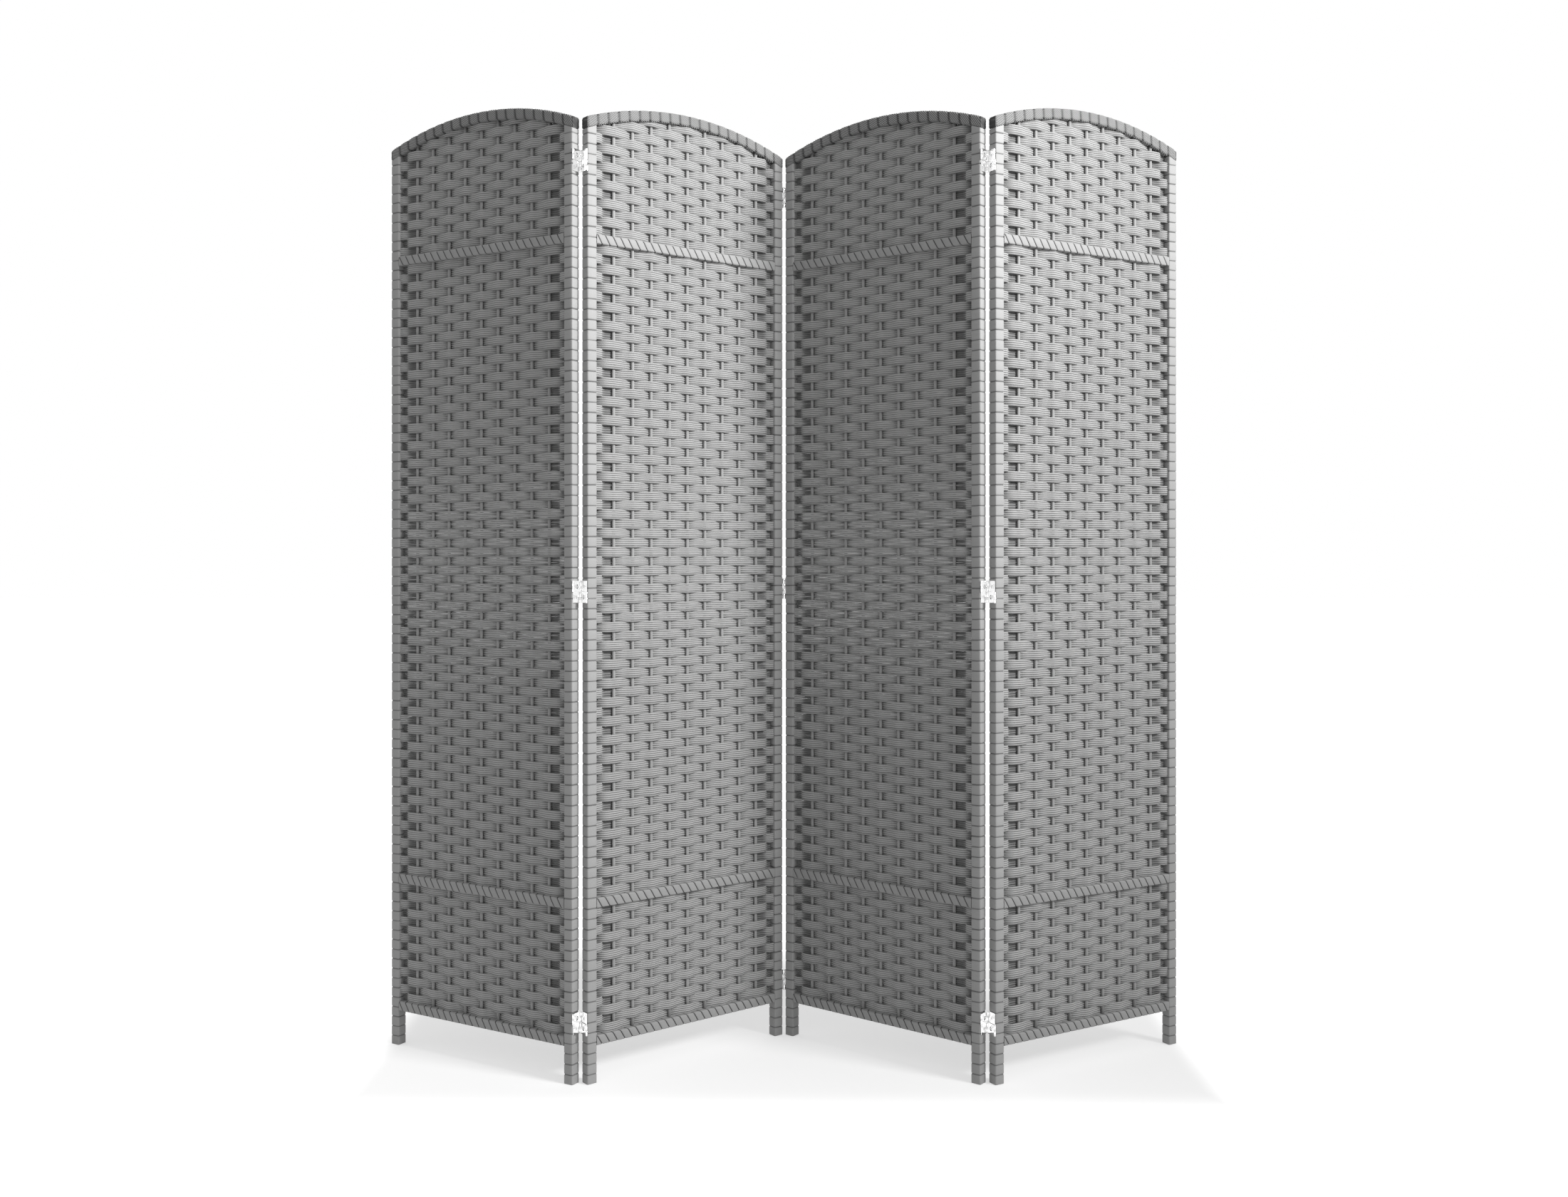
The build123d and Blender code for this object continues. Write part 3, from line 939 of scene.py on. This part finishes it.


# Painted light: the camera-only glow rises to full in front of the screen, behind it and beside it, washing
# out the lamp's shadow there.
to_side = math_of(tree, "ABSOLUTE", spot.outputs[0])
to_front = math_of(tree, "MULTIPLY", spot.outputs[1], -1)
in_open = math_of(tree, "MAXIMUM", beyond(to_front, 0.17, 0.4), beyond(spot.outputs[1], 0.5, 1.1))
painted_light_share = math_of(tree, "MAXIMUM", beyond(to_side, 0.74, 0.84), in_open)
least_glow = 0.44
strength = math_of(tree, "ADD", math_of(tree, "MULTIPLY", painted_light_share, 1 - least_glow), least_glow)
tree.links.new(math_of(tree, "MULTIPLY", seen_directly(tree), strength), glow.inputs["Strength"])
both = node_of(tree, "ShaderNodeAddShader")
tree.links.new(paint.outputs[0], both.inputs[0])
tree.links.new(glow.outputs[0], both.inputs[1])
tree.links.new(both.outputs[0], node_of(tree, "ShaderNodeOutputMaterial").inputs["Surface"])
floor_mesh.materials.append(floor_paint)

# %% [markdown]
# ## Light
# One large lamp stands to the right, in front and above, so the panels that face right are
# light and the others fall into shade, and each seam and crest catches an edge of light from
# above. The world's even light fills the rest.

# %% The lamp
def lamp(name, place, target, size, power, spread):
    light = bpy.data.lights.new(name, "AREA")
    light.shape, light.size, light.energy, light.spread = "DISK", size, power, radians(spread)
    holder = bpy.data.objects.new(name, light)
    holder.location = place
    holder.rotation_euler = (Vector(target) - Vector(place)).to_track_quat("-Z", "Y").to_euler()
    bpy.context.scene.collection.objects.link(holder)


lamp("key_lamp", place=(3.0, -1.9, 2.7), target=(-1.2, 0, 1.72), size=1.2, power=46, spread=75)

# %% [markdown]
# ## The camera
# The photograph was taken square on, from a little above the screen's middle, with the
# horizon just above the middle of the picture. The camera looks level so that uprights stay
# upright, and a small shift brings the object to its height in the frame.

# %% The camera
lens = bpy.data.cameras.new("camera")
lens.sensor_width, lens.lens, lens.shift_y = 36.0, 33.54, -0.0266
camera = bpy.data.objects.new("camera", lens)
camera.location = (0, -2.783, 0.953)
camera.rotation_euler = (radians(90), 0, 0)
bpy.context.scene.collection.objects.link(camera)
bpy.context.scene.camera = camera
bpy.context.scene.view_settings.view_transform = "Standard"

# %% [markdown]
# ## Sizes
# The dressed screen has to stay as large as the solids it stands for, so both boxes are
# written down before the script ends.

looks_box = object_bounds()
for low, high in (cad_box, looks_box):
    print("box in mm:", [round((b - a) / mm, 1) for a, b in zip(low, high)])
